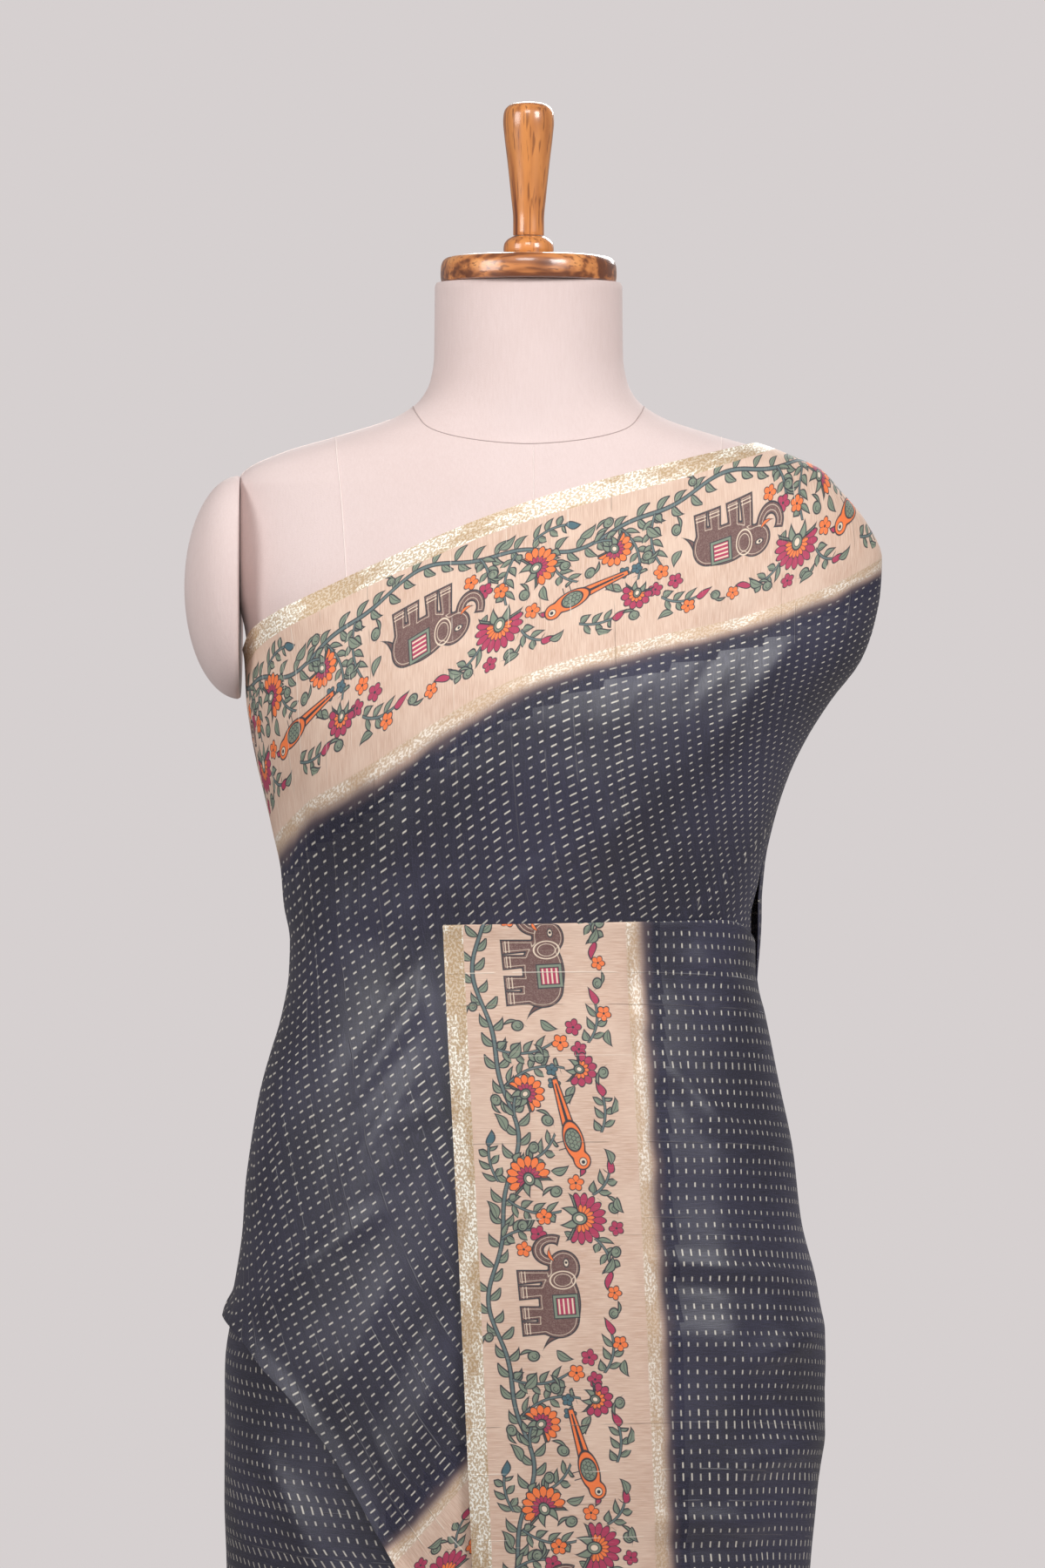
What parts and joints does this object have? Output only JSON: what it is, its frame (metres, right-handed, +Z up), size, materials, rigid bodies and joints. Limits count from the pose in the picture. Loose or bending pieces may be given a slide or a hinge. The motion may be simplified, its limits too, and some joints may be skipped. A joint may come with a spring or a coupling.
{
  "type": "draped sari on a limbless dress form with a pole stand",
  "caption": "Dark sari with a printed border, wound over one shoulder of a limbless dress form with a turned wooden neck cap, on a pole and a round base.",
  "frame": {"origin": "centre of the round base's underside, on the floor", "axes": "+Z up along the pole, the front of the dress form faces -Y, +X is the viewer's right"},
  "size_m": [0.4239, 0.38, 1.5504],
  "materials": {
    "sari_cloth": "soft woven cotton silk with small cream weft dashes and a pale printed border",
    "form_jersey": "matt stretch jersey",
    "turned_wood": "glossy orange-brown lacquer over grain",
    "pole_paint": "satin dark paint"
  },
  "bodies": {
    "root": {"form_torso": "form_jersey", "form_arm_cap_left": "form_jersey", "form_arm_cap_right": "form_jersey", "neck_cap_disc": "turned_wood", "knob_collar": "turned_wood", "knob_handle": "turned_wood", "stand_base": "turned_wood", "stand_pole": "pole_paint", "chest_wrap": "sari_cloth", "shoulder_fall": "sari_cloth", "front_panel": "sari_cloth", "skirt_back": "sari_cloth", "skirt_left": "sari_cloth"}
  },
  "joints": []
}
